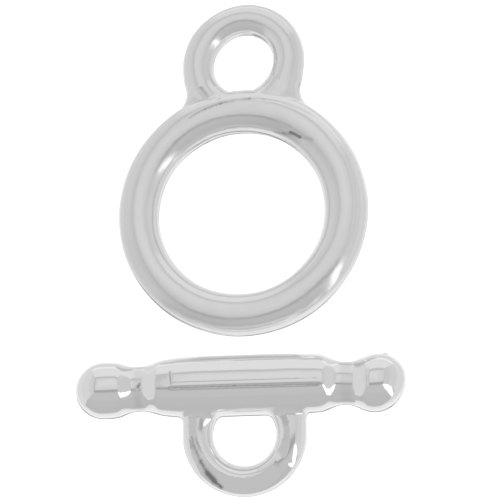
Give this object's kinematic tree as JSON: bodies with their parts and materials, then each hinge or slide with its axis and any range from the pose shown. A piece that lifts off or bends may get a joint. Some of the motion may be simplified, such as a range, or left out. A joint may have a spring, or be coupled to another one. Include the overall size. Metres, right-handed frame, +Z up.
{
  "type": "toggle clasp",
  "caption": "Cast metal toggle clasp: a round ring with an eye, and a T-bar with beaded ends and a loop, lying loose side by side.",
  "frame": {"origin": "on the surface that the two castings lie on, under the middle of their joint box", "axes": "+Y from the bar's loop to the ring's eye, +X along the bar, +Z up"},
  "size_m": [0.0158, 0.024, 0.0029],
  "materials": {
    "silver": "polished silver plate over cast metal"
  },
  "bodies": {
    "root": {"toggle_ring": "silver", "toggle_bar": "silver"}
  },
  "joints": []
}
